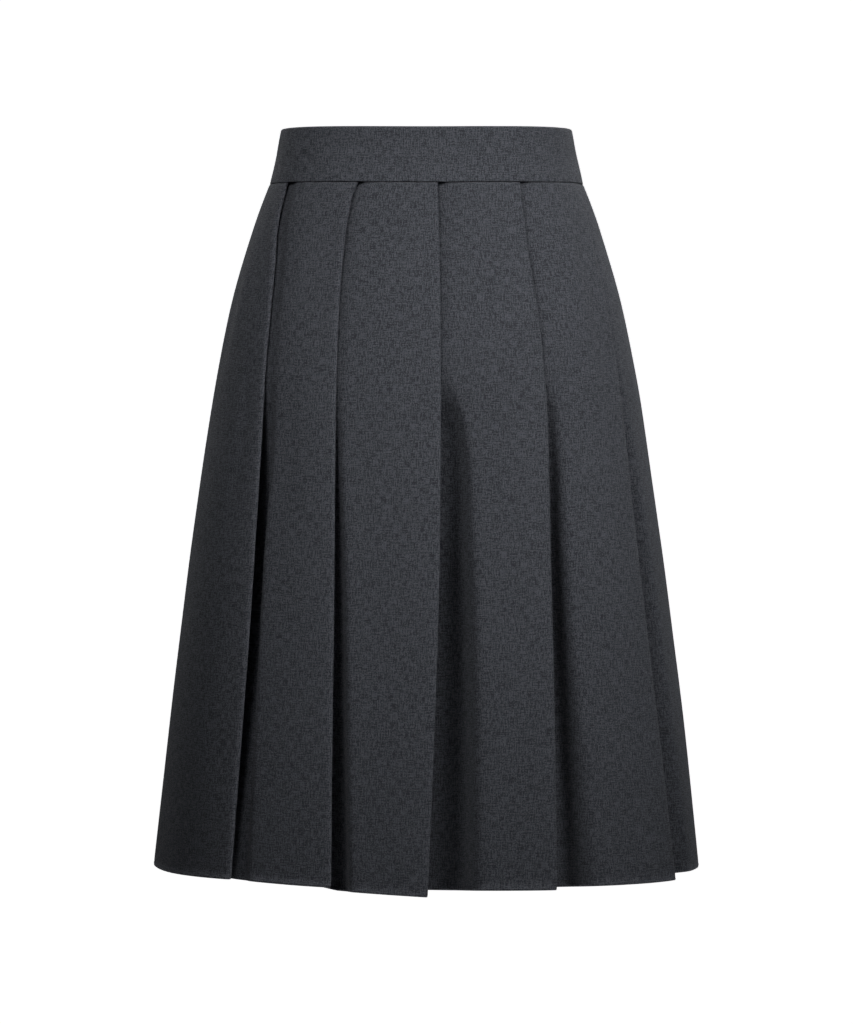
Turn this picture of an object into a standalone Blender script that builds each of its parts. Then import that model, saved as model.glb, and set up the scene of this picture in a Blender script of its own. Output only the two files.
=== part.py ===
# Pleated skirt with a plain waistband, filled out and hollow, open at the waist and at the hem.
# Metres, +Z up, front towards -Y, the wearer's left towards +X.
# The origin is on the axis of the body, at half the height of the waistband.

import math

import bmesh
import bpy
import numpy as np
from mathutils import Matrix, Vector

MM = 0.001

# Cloth and seams, in millimetres
CLOTH = 1.0
BAND_CLOTH = 3.0
BAND_INWARD = 0.9
BAND_ROUNDING = 1.1
SEAM_GAP = 0.3
LEAN_OF_CUT_EDGES = 0.4
SEAM_UNDER_FOLD = 3.0
LAYER = 2.3
CENTRE_DIP = 3.4
DIP_POWER = 3.0

# Heights of the main lines, in millimetres from the middle of the waistband
BAND_TOP = 26.6
BAND_FOOT = -22.5
SKIRT_TOP = BAND_FOOT - SEAM_GAP - LEAN_OF_CUT_EDGES
HEM = -636.3
SPLIT_WIDENS = 6.0
SPLIT_WIDE = SPLIT_WIDENS + 3.0

# How square each ring is: 2 is an ellipse
ROUNDNESS = 2.35
RING_STEPS = 720

# A row for each height: half of the width, and how far the ring reaches to the front and to the back
GIRTH_COLUMNS = ("height", "half_width", "front", "back")
BAND_GIRTH = (
    (BAND_TOP, 129.7, 95.0, 95.0),
    (0.0, 135.0, 99.0, 99.5),
    (BAND_FOOT, 140.0, 103.0, 104.0),
)
SKIRT_GIRTH = (
    (BAND_FOOT, 140.5, 103.0, 104.0),
    (-45.0, 149.2, 108.5, 111.0),
    (-75.0, 159.3, 115.0, 120.0),
    (-126.0, 174.2, 126.0, 134.0),
    (-198.0, 189.0, 138.5, 146.0),
    (-306.0, 205.9, 152.5, 159.0),
    (-450.0, 224.8, 168.5, 175.0),
    (HEM, 246.2, 186.5, 192.5),
)

# Where each fold edge runs, in percent of the way round from the centre front to the wearer's left
FOLD_HEIGHTS = {
    "waist": BAND_FOOT,
    "below_waist": -38.0,
    "above_hip": -62.0,
    "high_hip": -90.0,
    "release": -200.0,
    "thigh": -350.0,
    "hem": HEM,
}
FOLD_COLUMNS = ("name", *FOLD_HEIGHTS)
FOLDS = (
    ("a", -17.15, -16.87, -16.35, -15.4, -13.9, -12.95, -12.55),
    ("b", -7.67, -8.04, -8.07, -7.93, -7.35, -6.65, -5.85),
    ("c", 1.2, 1.2, 1.2, 1.2, 1.12, 0.9, 0.05),
    ("d", 10.5, 10.3, 10.01, 9.8, 9.7, 9.0, 8.0),
    ("e", 20.4, 19.6, 18.71, 18.1, 17.5, 16.93, 17.25),
    ("f", 31.0, 30.8, 30.39, 29.9, 29.2, 28.9, 28.7),
    ("g", 40.6, 40.5, 40.39, 40.3, 40.2, 40.3, 40.6),
    ("h", 50.4, 50.4, 50.43, 50.5, 50.8, 51.4, 52.0),
    ("i", 61.0, 61.0, 61.07, 61.2, 61.6, 62.0, 62.4),
    ("j", 71.6, 71.7, 71.85, 72.0, 72.2, 72.3, 72.2),
)

# How deep the cloth lies beside each fold edge, how far the hem drops at the fold and beside it, and how
# wide the gutter is in which the cloth stays deep
STITCHED_DOWN_TO = -190.0
OPENING_HEIGHTS = {
    "below_release": -240.0,
    "thigh": -350.0,
    "hem": HEM,
}
DEPTH_COLUMNS = ("below_release", "thigh", "hem")
GUTTER_COLUMNS = ("gutter_below_release", "gutter_thigh", "gutter_hem")
OPENING_COLUMNS = ("name", *DEPTH_COLUMNS, "tip_drop", "start_drop", *GUTTER_COLUMNS)
OPENINGS = (
    ("a", 10.0, 21.0, 14.0, -6.0, -7.0, 10.0, 8.0, 15.0),
    ("b", 7.0, 13.0, 26.0, -3.0, 1.0, 4.0, 7.0, 14.0),
    ("c", 18.0, 30.0, 38.0, 4.6, 1.2, 15.0, 22.0, 37.0),
    ("d", 13.0, 24.0, 36.0, 0.0, 0.5, 10.0, 14.0, 32.0),
    ("e", 14.0, 24.0, 30.0, 0.0, -2.0, 14.0, 22.0, 32.0),
    ("f", 12.0, 20.0, 26.0, 1.0, -1.0, 10.0, 16.0, 24.0),
    ("g", 14.0, 24.0, 30.0, 3.0, 0.0, 12.0, 18.0, 28.0),
    ("h", 10.0, 18.0, 28.0, 2.0, 0.0, 9.0, 14.0, 22.0),
    ("i", 15.0, 25.0, 28.0, 3.0, -1.0, 12.0, 20.0, 26.0),
    ("j", 5.5, 7.0, 8.0, 0.0, -3.5, 6.0, 8.0, 10.0),
)

# Pleats: width of cloth folded back, the radius of the folds, and the curve of a panel across its width
UNDERLAY_AT_WAIST = 40.0
UNDERLAY_AT_HEM = 47.0
FOLD_RADIUS_AT_WAIST = 1.15
FOLD_RADIUS_AT_HEM = 2.0
PANEL_CURVE = 1.7
WALL_SHARE = 0.76
WALL_SOFTNESS = 0.07
WALL_SOFT_LEAST = 0.9
GUTTER_AT_WAIST = 0.5
OPENNESS = (0.0, 0.0, 0.6, 1.0, 1.0)
BACK_FOLD = 7
CREASE_SHARE = 0.75
CREASE_EXTRA = 3.0
HEM_DROP_POWER = 2.0
INNER_LIFT = 1.5

# Heights of the rows of points down the skirt and up the waistband
SKIRT_ROWS = (HEM, -552.0, -462.0, -372.0, -295.0, -236.0, -198.0, -155.0, -118.0, -86.0, -55.0, SKIRT_TOP)
FRONT_BAND_ROWS = (BAND_FOOT, 0.0, BAND_TOP)
BACK_BAND_ROWS = (BAND_FOOT, 0.0, SPLIT_WIDENS, SPLIT_WIDE, BAND_TOP)
PANEL_START = 0.03
WALL_STEPS = (-1.6, 0.0, 1.6, 4.0)
LEAST_TO_WALL = 6.0

# The concealed zip, in millimetres
TAPE_HALF_WIDTH = 13.0
TAPE_NOTCH = 3.7
TAPE_TOP = 22.0
TAPE_ROWS = (-198.0, -155.0, -118.0, -86.0, -55.0, SKIRT_TOP, 0.0, SPLIT_WIDENS, TAPE_TOP)
SPLIT_HALF_WIDTH = 1.7
PIN_HEIGHT = 14.0
BODY_SIZE = (6.4, 8.6, 2.4)
NECK_HALF_WIDTH = 1.2
NECK_HEIGHT = 5.0
NECK_OVERLAP = 0.2
EAR_OVERLAP = 0.3
PLATE_SIZE = (5.4, 8.0, 1.0)
EAR_THICKNESS = 1.0
EAR_HEIGHT = 2.6
EYE_WIDTH = 2.2
EYE_RADIUS = 1.5
EYE_HOLE = 0.85
PIN_RADIUS = 0.5
PIN_OUTWARD = 3.9
TAB_LENGTH = 17.0
TAB_RADIUS = 2.5
TAB_NECK_RADIUS = 1.0
TAB_THICKNESS = 1.0
ROUND_SEGMENTS = 16
RUNNING_GAP = 0.3

COLOURS = {
    "suiting": ((0.052, 0.056, 0.064, 1.0), 0.92, 0.0),
    "waistband": ((0.056, 0.060, 0.068, 1.0), 0.92, 0.0),
    "zip tape": ((0.030, 0.032, 0.036, 1.0), 0.85, 0.0),
    "zip metal": ((0.060, 0.062, 0.068, 1.0), 0.38, 1.0),
}


def clear_scene():
    for old in list(bpy.data.objects):
        bpy.data.objects.remove(old, do_unlink=True)


def make_collection(name):
    collection = bpy.data.collections.new(name)
    bpy.context.scene.collection.children.link(collection)
    return collection


def make_material(name):
    colour, roughness, metallic = COLOURS[name]
    material = bpy.data.materials.new(name)
    material.use_nodes = True
    shader = material.node_tree.nodes["Principled BSDF"]
    shader.inputs["Base Color"].default_value = colour
    shader.inputs["Roughness"].default_value = roughness
    shader.inputs["Metallic"].default_value = metallic
    return material


def add_object(name, mesh, collection, material):
    item = bpy.data.objects.new(name, mesh)
    item.data.materials.append(material)
    collection.objects.link(item)
    return item


def smooth(position, places, values):
    """Read a value between the rows of a table along a smooth curve."""
    order = np.argsort(places)
    places = np.asarray(places, dtype=float)[order]
    values = np.asarray(values, dtype=float)[order]
    slopes = np.gradient(values, places)
    steps = np.diff(values) / np.diff(places)
    for index, step in enumerate(steps):
        for end in (index, index + 1):
            if slopes[end] * step < 0.0:
                slopes[end] = 0.0
            else:
                slopes[end] = math.copysign(min(abs(slopes[end]), 3.0 * abs(step)), step)
    place = min(max(position, places[0]), places[-1])
    index = min(int(np.searchsorted(places, place, side="right")) - 1, len(places) - 2)
    width = places[index + 1] - places[index]
    t = (place - places[index]) / width
    start = values[index] * (1 + 2 * t) * (1 - t) ** 2 + slopes[index] * width * t * (1 - t) ** 2
    end = values[index + 1] * t * t * (3 - 2 * t) + slopes[index + 1] * width * t * t * (t - 1)
    return start + end


def column(table, columns, name):
    place = columns.index(name)
    return [row[place] for row in table]


class Ring:
    """The outline of the garment at one height, read by arc length from the centre front."""

    def __init__(self, girth, height):
        heights = column(girth, GIRTH_COLUMNS, "height")
        half_width, front, back = (
            smooth(height, heights, column(girth, GIRTH_COLUMNS, name)) for name in GIRTH_COLUMNS[1:]
        )
        angle = np.linspace(0.0, 2.0 * math.pi, RING_STEPS + 1)
        side = np.sin(angle)
        ahead = np.cos(angle)
        depth = np.where(ahead > 0.0, front, back)
        self.x = half_width * np.sign(side) * np.abs(side) ** (2.0 / ROUNDNESS)
        self.y = -depth * np.sign(ahead) * np.abs(ahead) ** (2.0 / ROUNDNESS)
        stretch = np.hypot(np.diff(self.x), np.diff(self.y))
        self.arc = np.concatenate(([0.0], np.cumsum(stretch)))
        self.length = self.arc[-1]

    def place(self, arc):
        arc = arc % self.length
        return Vector((np.interp(arc, self.arc, self.x), np.interp(arc, self.arc, self.y)))

    def point(self, arc, inward, height):
        """A point at an arc length, moved inward across the ring."""
        reach = 2.0
        ahead = self.place(arc + reach) - self.place(arc - reach)
        ahead.normalize()
        spot = self.place(arc) + Vector((-ahead.y, ahead.x)) * inward
        dip = CENTRE_DIP * ((1.0 + math.cos(2.0 * math.pi * arc / self.length)) / 2.0) ** DIP_POWER
        dip *= max(0.0, 1.0 + min(height - BAND_FOOT, 0.0) / 100.0)
        return Vector((spot.x, spot.y, height - dip)) * MM


class Fold:
    """One fold edge at one height: where it runs and how far its pleat stands open."""

    def __init__(self, index, height, ring):
        share = dict(zip(FOLD_COLUMNS, FOLDS[index % len(FOLDS)]))
        opening = dict(zip(OPENING_COLUMNS, OPENINGS[index % len(OPENINGS)]))
        shares = [share[name] for name in FOLD_HEIGHTS]
        laid = 2.0 * LAYER
        heights = [BAND_FOOT, STITCHED_DOWN_TO, *OPENING_HEIGHTS.values()]
        depths = [laid, laid, *(opening[name] for name in DEPTH_COLUMNS)]
        narrow = GUTTER_AT_WAIST * opening["gutter_below_release"]
        gutters = [narrow, narrow, *(opening[name] for name in GUTTER_COLUMNS)]
        turns = index // len(FOLDS)
        down = min(max((height - BAND_FOOT) / (HEM - BAND_FOOT), 0.0), 1.0)
        self.tip = ring.length * (turns + smooth(height, list(FOLD_HEIGHTS.values()), shares) / 100.0)
        self.depth = smooth(height, heights, depths)
        self.open = smooth(height, heights, OPENNESS)
        self.gutter = smooth(height, heights, gutters)
        self.wall_softness = WALL_SOFT_LEAST + WALL_SOFTNESS * self.gutter
        self.radius = FOLD_RADIUS_AT_WAIST + (FOLD_RADIUS_AT_HEM - FOLD_RADIUS_AT_WAIST) * down
        self.underlay = UNDERLAY_AT_WAIST + (UNDERLAY_AT_HEM - UNDERLAY_AT_WAIST) * down
        self.crease = LAYER + self.open * (CREASE_SHARE * self.depth + CREASE_EXTRA)
        self.tip_drop = opening["tip_drop"] * down ** HEM_DROP_POWER
        self.start_drop = opening["start_drop"] * down ** HEM_DROP_POWER
        self.inner_lift = INNER_LIFT * down ** HEM_DROP_POWER


def pleat_points(before, fold):
    """Arc length, depth and drop of the points from beside one fold edge to underneath the next."""
    run = fold.tip - before.tip
    flat = run - fold.underlay
    rise = flat + fold.underlay * before.open
    radius = fold.radius
    points = []

    def panel_drop(arc):
        return before.start_drop + (fold.tip_drop - before.start_drop) * (arc - before.tip) / run

    def panel(arc):
        along = min((arc - before.tip) / rise, 1.0)
        past_wall = (arc - before.tip - before.gutter) / before.wall_softness
        wall = WALL_SHARE * before.open / (1.0 + math.exp(min(past_wall, 40.0)))
        slope = (1.0 - WALL_SHARE * before.open) * (1.0 - along) ** PANEL_CURVE
        return (arc, before.depth * (slope + wall), panel_drop(arc))

    def layer(share, at_tip, at_crease, drop_at_tip):
        arc = fold.tip - fold.underlay * share
        drop_at_crease = panel_drop(fold.tip - fold.underlay) - fold.inner_lift
        drop = drop_at_tip + (drop_at_crease - drop_at_tip) * share
        return (arc, at_tip + (at_crease - at_tip) * share, drop)

    to_wall = max(before.gutter, LEAST_TO_WALL)
    wall = [before.tip + to_wall + before.wall_softness * step for step in WALL_STEPS]
    start = before.tip + flat * PANEL_START
    end = before.tip + flat
    for arc in (start, (start + wall[0]) / 2.0, *wall, (wall[-1] + end) / 2.0, end):
        points.append(panel(arc))
    for share in (2.0 / 3.0, 1.0 / 3.0):
        points.append(panel(fold.tip - fold.underlay * share))

    # The fold edge turns through half a circle
    points.append((fold.tip - 2.2 * radius, 0.0, fold.tip_drop))
    for turn in (-45.0, 0.0, 45.0):
        angle = math.radians(turn)
        arc = fold.tip - radius + radius * math.cos(angle)
        points.append((arc, radius + radius * math.sin(angle), fold.tip_drop))
    points.append((fold.tip - 2.2 * radius, 2.0 * radius, fold.tip_drop))

    # The cloth folded back, the inner crease, and the cloth that comes forward again
    near_tip = 2.0 * radius
    at_crease = fold.crease
    for share in (1.0 / 3.0, 2.0 / 3.0, 1.0 - 1.5 * LAYER / 2.0 / fold.underlay):
        points.append(layer(share, near_tip, at_crease, fold.tip_drop))
    points.append(layer(1.0, 0.0, at_crease + LAYER / 2.0, fold.tip_drop))
    for share in (1.0 - 1.5 * LAYER / 2.0 / fold.underlay, 2.0 / 3.0, 1.0 / 3.0):
        points.append(layer(share, fold.depth, at_crease + LAYER, fold.start_drop))
    points.append(layer(SEAM_UNDER_FOLD / fold.underlay, fold.depth, at_crease + LAYER, fold.start_drop))
    return points


def skirt_row(first, last, height):
    """The points of one panel at one height, from the seam under one fold to the seam under another."""
    ring = Ring(SKIRT_GIRTH, height)
    folds = [Fold(index, height, ring) for index in range(first, last + 1)]
    start = folds[0]
    row = [(start.tip - SEAM_UNDER_FOLD + SEAM_GAP / 2.0, start.depth, start.start_drop)]
    for before, fold in zip(folds, folds[1:]):
        row.extend(pleat_points(before, fold))
    arc, inward, drop = row[-1]
    row[-1] = (arc - SEAM_GAP / 2.0, inward, drop)
    return [ring.point(arc, inward, height - drop) for arc, inward, drop in row]


def band_row(start, end, steps, height, split_at_start, split_at_end):
    """The points of one piece of the waistband at one height, between two shares of the way round."""
    ring = Ring(BAND_GIRTH, height)
    split = SPLIT_HALF_WIDTH if height > SPLIT_WIDENS else SEAM_GAP
    first = ring.length * start + (split if split_at_start else SEAM_GAP / 2.0)
    final = ring.length * end - (split if split_at_end else SEAM_GAP / 2.0)
    arcs = np.linspace(first, final, steps)
    return [ring.point(arc, BAND_INWARD, height) for arc in arcs]


def cloth_mesh(name, rows):
    """A sheet through rows of points, from the lowest row up."""
    mesh = bpy.data.meshes.new(name)
    work = bmesh.new()
    bmesh.ops.create_grid(work, x_segments=len(rows[0]) - 1, y_segments=len(rows) - 1, size=1.0)
    work.verts.ensure_lookup_table()
    places = [point for row in rows for point in row]
    for vertex, place in zip(work.verts, places):
        vertex.co = place
    work.to_mesh(mesh)
    work.free()
    return mesh


def give_thickness(item, thickness):
    wall = item.modifiers.new("wall", "SOLIDIFY")
    wall.thickness = thickness * MM
    wall.offset = 0.0
    wall.use_rim = True
    wall.use_quality_normals = True


def make_skirt_panel(name, first, last, collection, material):
    rows = [skirt_row(first, last, height) for height in SKIRT_ROWS]
    item = add_object(name, cloth_mesh(name, rows), collection, material)
    item.data.shade_smooth()
    give_thickness(item, CLOTH)


def make_band(name, start, end, steps, heights, splits, collection, material):
    rows = [band_row(start, end, steps, height, splits[0], splits[1]) for height in heights]
    item = add_object(name, cloth_mesh(name, rows), collection, material)
    item.data.shade_smooth()
    give_thickness(item, BAND_CLOTH)
    edge = item.modifiers.new("rounded edge", "BEVEL")
    edge.width = BAND_ROUNDING * MM
    edge.segments = 2
    edge.limit_method = "ANGLE"
    edge.angle_limit = math.radians(50.0)


def back_seam_place(height, aside, behind):
    """A point beside the centre back seam, behind the waistband or behind the skirt's innermost layer."""
    if height >= BAND_FOOT:
        ring = Ring(BAND_GIRTH, height)
        return ring.point(ring.length / 2.0 + aside, BAND_INWARD + BAND_CLOTH / 2.0 + behind, height)
    ring = Ring(SKIRT_GIRTH, height)
    fold = Fold(BACK_FOLD, height, ring)
    layer = max(fold.depth, fold.crease + LAYER) + CLOTH / 2.0
    return ring.point(fold.tip - SEAM_UNDER_FOLD + aside, layer + behind, height)


def make_zip_tape(collection, material):
    asides = (-TAPE_HALF_WIDTH, -TAPE_NOTCH, TAPE_NOTCH, TAPE_HALF_WIDTH)
    behind = SEAM_GAP + CLOTH / 2.0
    rows = [[back_seam_place(height, aside, behind) for aside in asides] for height in TAPE_ROWS]
    mesh = cloth_mesh("zip_tape", rows)
    work = bmesh.new()
    work.from_mesh(mesh)
    notch = [
        face for face in work.faces
        if face.calc_center_median().z > SPLIT_WIDENS * MM
        and abs(face.calc_center_median().x) < TAPE_NOTCH * MM
    ]
    bmesh.ops.delete(work, geom=notch, context="FACES")
    work.to_mesh(mesh)
    work.free()
    item = add_object("zip_tape", mesh, collection, material)
    give_thickness(item, CLOTH)


def slider_frame():
    """Axes on the outside of the waistband at the top of the zip: across, up and outward."""
    middle_of_wall = -(BAND_INWARD + BAND_CLOTH / 2.0)
    low = back_seam_place(PIN_HEIGHT - 5.0, 0.0, middle_of_wall)
    high = back_seam_place(PIN_HEIGHT + 5.0, 0.0, middle_of_wall)
    up = (high - low).normalized()
    outward = Vector((0.0, up.z, -up.y))
    across = up.cross(outward)
    frame = Matrix((across, up, outward)).transposed().to_4x4()
    frame.translation = back_seam_place(PIN_HEIGHT, 0.0, middle_of_wall)
    return frame


def add_block(work, size, centre):
    made = bmesh.ops.create_cube(work, size=1.0)
    bmesh.ops.scale(work, vec=Vector(size) * MM, verts=made["verts"])
    bmesh.ops.translate(work, vec=Vector(centre) * MM, verts=made["verts"])


def add_rod(work, radius, length, turn):
    made = bmesh.ops.create_cone(
        work,
        cap_ends=True,
        segments=ROUND_SEGMENTS,
        radius1=radius * MM,
        radius2=radius * MM,
        depth=length * MM,
    )
    bmesh.ops.rotate(work, cent=Vector(), matrix=turn, verts=made["verts"])
    return made["verts"]


def piece_mesh(name, build):
    mesh = bpy.data.meshes.new(name)
    work = bmesh.new()
    build(work)
    work.to_mesh(mesh)
    work.free()
    return mesh


def cut_or_join(item, name, build, operation, cutters):
    """Join a shape to a piece, or cut it away, in the piece's own axes."""
    tool = bpy.data.objects.new(name, piece_mesh(name, build))
    tool.matrix_world = item.matrix_world
    tool.hide_render = True
    tool.display_type = "WIRE"
    cutters.objects.link(tool)
    step = item.modifiers.new(name, "BOOLEAN")
    step.operation = operation
    step.object = tool


ALONG_ACROSS = Matrix.Rotation(math.radians(90.0), 3, "Y")
UPRIGHT = Matrix.Identity(3)


def make_slider(frame, collection, cutters, material):
    band_face = BAND_CLOTH / 2.0 - BAND_INWARD
    band_back = -(BAND_CLOTH / 2.0 + BAND_INWARD)
    plate_foot = band_face + RUNNING_GAP
    plate_top = plate_foot + PLATE_SIZE[2]
    body_top = band_back - RUNNING_GAP
    ear_tip = PIN_OUTWARD + EAR_HEIGHT / 2.0
    ear_aside = EYE_WIDTH / 2.0 + RUNNING_GAP + EAR_THICKNESS / 2.0

    def body(work):
        add_block(work, BODY_SIZE, (0.0, 0.0, body_top - BODY_SIZE[2] / 2.0))

    def neck(work):
        reach = plate_top - body_top
        middle = body_top + reach / 2.0 - NECK_OVERLAP
        add_block(work, (2.0 * NECK_HALF_WIDTH, NECK_HEIGHT, reach), (0.0, 0.0, middle))

    def plate(work):
        add_block(work, PLATE_SIZE, (0.0, 0.0, plate_foot + PLATE_SIZE[2] / 2.0))

    def ear(side):
        def build(work):
            height = ear_tip - plate_top + EAR_OVERLAP
            centre = (side * ear_aside, 0.0, ear_tip - height / 2.0)
            add_block(work, (EAR_THICKNESS, EAR_HEIGHT, height), centre)
        return build

    def pin(work):
        rod = add_rod(work, PIN_RADIUS, 2.0 * ear_aside, ALONG_ACROSS)
        bmesh.ops.translate(work, vec=Vector((0.0, 0.0, PIN_OUTWARD * MM)), verts=rod)

    item = add_object("zip_slider", piece_mesh("zip_slider", body), collection, material)
    item.matrix_world = frame
    cut_or_join(item, "slider neck", neck, "UNION", cutters)
    cut_or_join(item, "slider plate", plate, "UNION", cutters)
    cut_or_join(item, "slider ear left", ear(1.0), "UNION", cutters)
    cut_or_join(item, "slider ear right", ear(-1.0), "UNION", cutters)
    cut_or_join(item, "slider pin", pin, "UNION", cutters)


def make_pull(frame, collection, cutters, material):
    """The pull tab hangs from the slider's pin and lies against the waistband."""
    band_face = BAND_CLOTH / 2.0 - BAND_INWARD
    drop = PIN_OUTWARD - band_face - RUNNING_GAP - TAB_THICKNESS / 2.0
    lean = math.asin(drop / (TAB_LENGTH + TAB_RADIUS))

    def tab(work):
        bulb = add_rod(work, TAB_RADIUS, TAB_THICKNESS, UPRIGHT)
        bmesh.ops.translate(work, vec=Vector((0.0, -TAB_LENGTH * MM, 0.0)), verts=bulb)
        neck = add_rod(work, TAB_NECK_RADIUS, TAB_THICKNESS, UPRIGHT)
        bmesh.ops.translate(work, vec=Vector((0.0, -EYE_RADIUS * MM, 0.0)), verts=neck)
        hull = bmesh.ops.convex_hull(work, input=work.verts)
        loose = [part for part in hull["geom_interior"] if isinstance(part, bmesh.types.BMVert)]
        bmesh.ops.delete(work, geom=loose, context="VERTS")
        bmesh.ops.dissolve_limit(work, angle_limit=math.radians(1.0), verts=work.verts, edges=work.edges)
        bmesh.ops.recalc_face_normals(work, faces=work.faces)

    def eye(work):
        add_rod(work, EYE_RADIUS, EYE_WIDTH, ALONG_ACROSS)

    def hole(work):
        add_rod(work, EYE_HOLE, EYE_WIDTH * 2.0, ALONG_ACROSS)

    item = add_object("zip_pull", piece_mesh("zip_pull", tab), collection, material)
    pivot = frame @ Matrix.Translation((0.0, 0.0, PIN_OUTWARD * MM))
    item.matrix_world = pivot @ Matrix.Rotation(lean, 4, "X")
    cut_or_join(item, "pull eye", eye, "UNION", cutters)
    cut_or_join(item, "pull hole", hole, "DIFFERENCE", cutters)


def main():
    clear_scene()
    parts = make_collection("pleated skirt")
    cutters = make_collection("cutters")
    materials = {name: make_material(name) for name in COLOURS}

    suiting = materials["suiting"]
    make_skirt_panel("front_skirt", -1, 4, parts, suiting)
    make_skirt_panel("back_left_skirt", 4, 7, parts, suiting)
    make_skirt_panel("back_right_skirt", 7, 9, parts, suiting)

    waistband = materials["waistband"]
    make_band("front_waistband", -0.25, 0.25, 31, FRONT_BAND_ROWS, (False, False), parts, waistband)
    make_band("back_left_waistband", 0.25, 0.5, 16, BACK_BAND_ROWS, (False, True), parts, waistband)
    make_band("back_right_waistband", 0.5, 0.75, 16, BACK_BAND_ROWS, (True, False), parts, waistband)

    make_zip_tape(parts, materials["zip tape"])
    frame = slider_frame()
    make_slider(frame, parts, cutters, materials["zip metal"])
    make_pull(frame, parts, cutters, materials["zip metal"])


main()
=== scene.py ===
import math

import bmesh
import bpy
import numpy as np
from mathutils import Matrix, Vector, noise


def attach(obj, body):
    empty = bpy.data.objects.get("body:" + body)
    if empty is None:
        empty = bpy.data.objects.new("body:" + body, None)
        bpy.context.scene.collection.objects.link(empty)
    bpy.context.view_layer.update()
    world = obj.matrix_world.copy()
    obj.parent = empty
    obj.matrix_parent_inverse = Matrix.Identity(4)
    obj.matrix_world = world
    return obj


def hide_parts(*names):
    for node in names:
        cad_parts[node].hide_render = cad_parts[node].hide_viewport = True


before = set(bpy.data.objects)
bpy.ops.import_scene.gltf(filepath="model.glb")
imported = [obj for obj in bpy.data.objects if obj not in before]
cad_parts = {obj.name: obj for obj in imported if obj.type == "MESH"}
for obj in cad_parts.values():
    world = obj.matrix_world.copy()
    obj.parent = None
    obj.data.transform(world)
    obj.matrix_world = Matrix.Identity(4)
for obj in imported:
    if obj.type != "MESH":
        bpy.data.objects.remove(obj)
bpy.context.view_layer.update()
mm = 0.001

# The form of the skirt: lengths in millimetres, folds in percent of the way round from the centre front
# towards the wearer's left. Heights count from the middle of the waistband.
form = {
    "bandTop": 26.6,
    "bandFoot": -22.5,
    "hem": -636.3,
    "roundness": 2.35,
    "ringSteps": 1440,
    "centreDip": 3.4,
    "dipPower": 3.0,
    "dipFade": 100.0,
    "tangentReach": 2.0,
}
girthColumns = ("height", "halfWidth", "front", "back")
bandGirth = (
    (26.6, 129.7, 95.0, 95.0),
    (0.0, 135.0, 99.0, 99.5),
    (-22.5, 140.0, 103.0, 104.0),
)
skirtGirth = (
    (-22.5, 140.5, 103.0, 104.0),
    (-45.0, 149.2, 108.5, 111.0),
    (-75.0, 159.3, 115.0, 120.0),
    (-126.0, 174.2, 126.0, 134.0),
    (-198.0, 189.0, 138.5, 146.0),
    (-306.0, 205.9, 152.5, 159.0),
    (-450.0, 224.8, 168.5, 175.0),
    (-636.3, 246.2, 186.5, 192.5),
)
foldHeights = (-22.5, -38.0, -62.0, -90.0, -200.0, -350.0, -636.3)
foldShares = (
    ("a", (-17.15, -16.87, -16.35, -15.4, -13.9, -12.95, -12.55)),
    ("b", (-7.67, -8.04, -8.07, -7.93, -7.35, -6.65, -5.85)),
    ("c", (1.2, 1.2, 1.2, 1.2, 1.12, 0.9, 0.05)),
    ("d", (10.5, 10.3, 10.01, 9.8, 9.7, 9.0, 8.0)),
    ("e", (20.4, 19.6, 18.71, 18.1, 17.5, 16.93, 17.25)),
    ("f", (31.0, 30.8, 30.39, 29.9, 29.2, 28.9, 28.7)),
    ("g", (40.6, 40.5, 40.39, 40.3, 40.2, 40.3, 40.6)),
    ("h", (50.4, 50.4, 50.43, 50.5, 50.8, 51.4, 52.0)),
    ("i", (61.0, 61.0, 61.07, 61.2, 61.6, 62.0, 62.4)),
    ("j", (71.6, 71.7, 71.85, 72.0, 72.2, 72.3, 72.2)),
)
openingHeights = (-22.5, -190.0, -240.0, -350.0, -636.3)
openingColumns = (
    "belowRelease", "thigh", "hem", "tipDrop", "startDrop",
    "gutterLaid", "gutterBelow", "gutterThigh", "gutterHem",
)
openings = {
    "a": (10.0, 21.0, 10.0, -6.0, -6.5, 9.5, 10.0, 6.0, 16.0),
    "b": (7.0, 13.0, 26.0, -3.0, -0.5, 4.0, 4.0, 7.0, 14.0),
    "c": (18.0, 31.0, 41.0, 4.6, -1.6, 5.0, 18.0, 25.0, 38.0),
    "d": (13.0, 24.0, 36.0, 0.0, -2.6, 5.0, 10.0, 14.0, 32.0),
    "e": (14.0, 24.0, 30.0, 0.0, -5.0, 4.5, 14.0, 22.0, 32.0),
    "f": (12.0, 20.0, 26.0, 1.0, -1.0, 5.0, 10.0, 16.0, 24.0),
    "g": (14.0, 24.0, 30.0, 3.0, 0.0, 6.0, 12.0, 18.0, 28.0),
    "h": (10.0, 18.0, 28.0, 2.0, 0.0, 4.0, 9.0, 14.0, 22.0),
    "i": (15.0, 25.0, 28.0, 3.0, -1.0, 6.0, 12.0, 20.0, 26.0),
    "j": (5.5, 7.0, 8.0, 0.0, -3.5, 4.0, 6.0, 8.0, 10.0),
}
pleat = {
    "layer": 2.3,
    "laidDepth": 4.6,
    "openness": (0.0, 0.0, 0.6, 1.0, 1.0),
    "underlay": (40.0, 47.0),
    "foldRadius": (1.15, 2.0),
    "panelCurve": 1.7,
    "wallShare": (0.5, 0.76),
    "wallSoftness": 0.05,
    "wallSoftLeast": (1.5, 0.9),
    "creaseShare": 0.75,
    "creaseExtra": 3.0,
    "dropPower": 2.0,
    "settle": 0.12,
    "innerLift": 1.5,
    "seamUnderFold": 3.0,
    "seamGap": 0.3,
}


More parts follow.
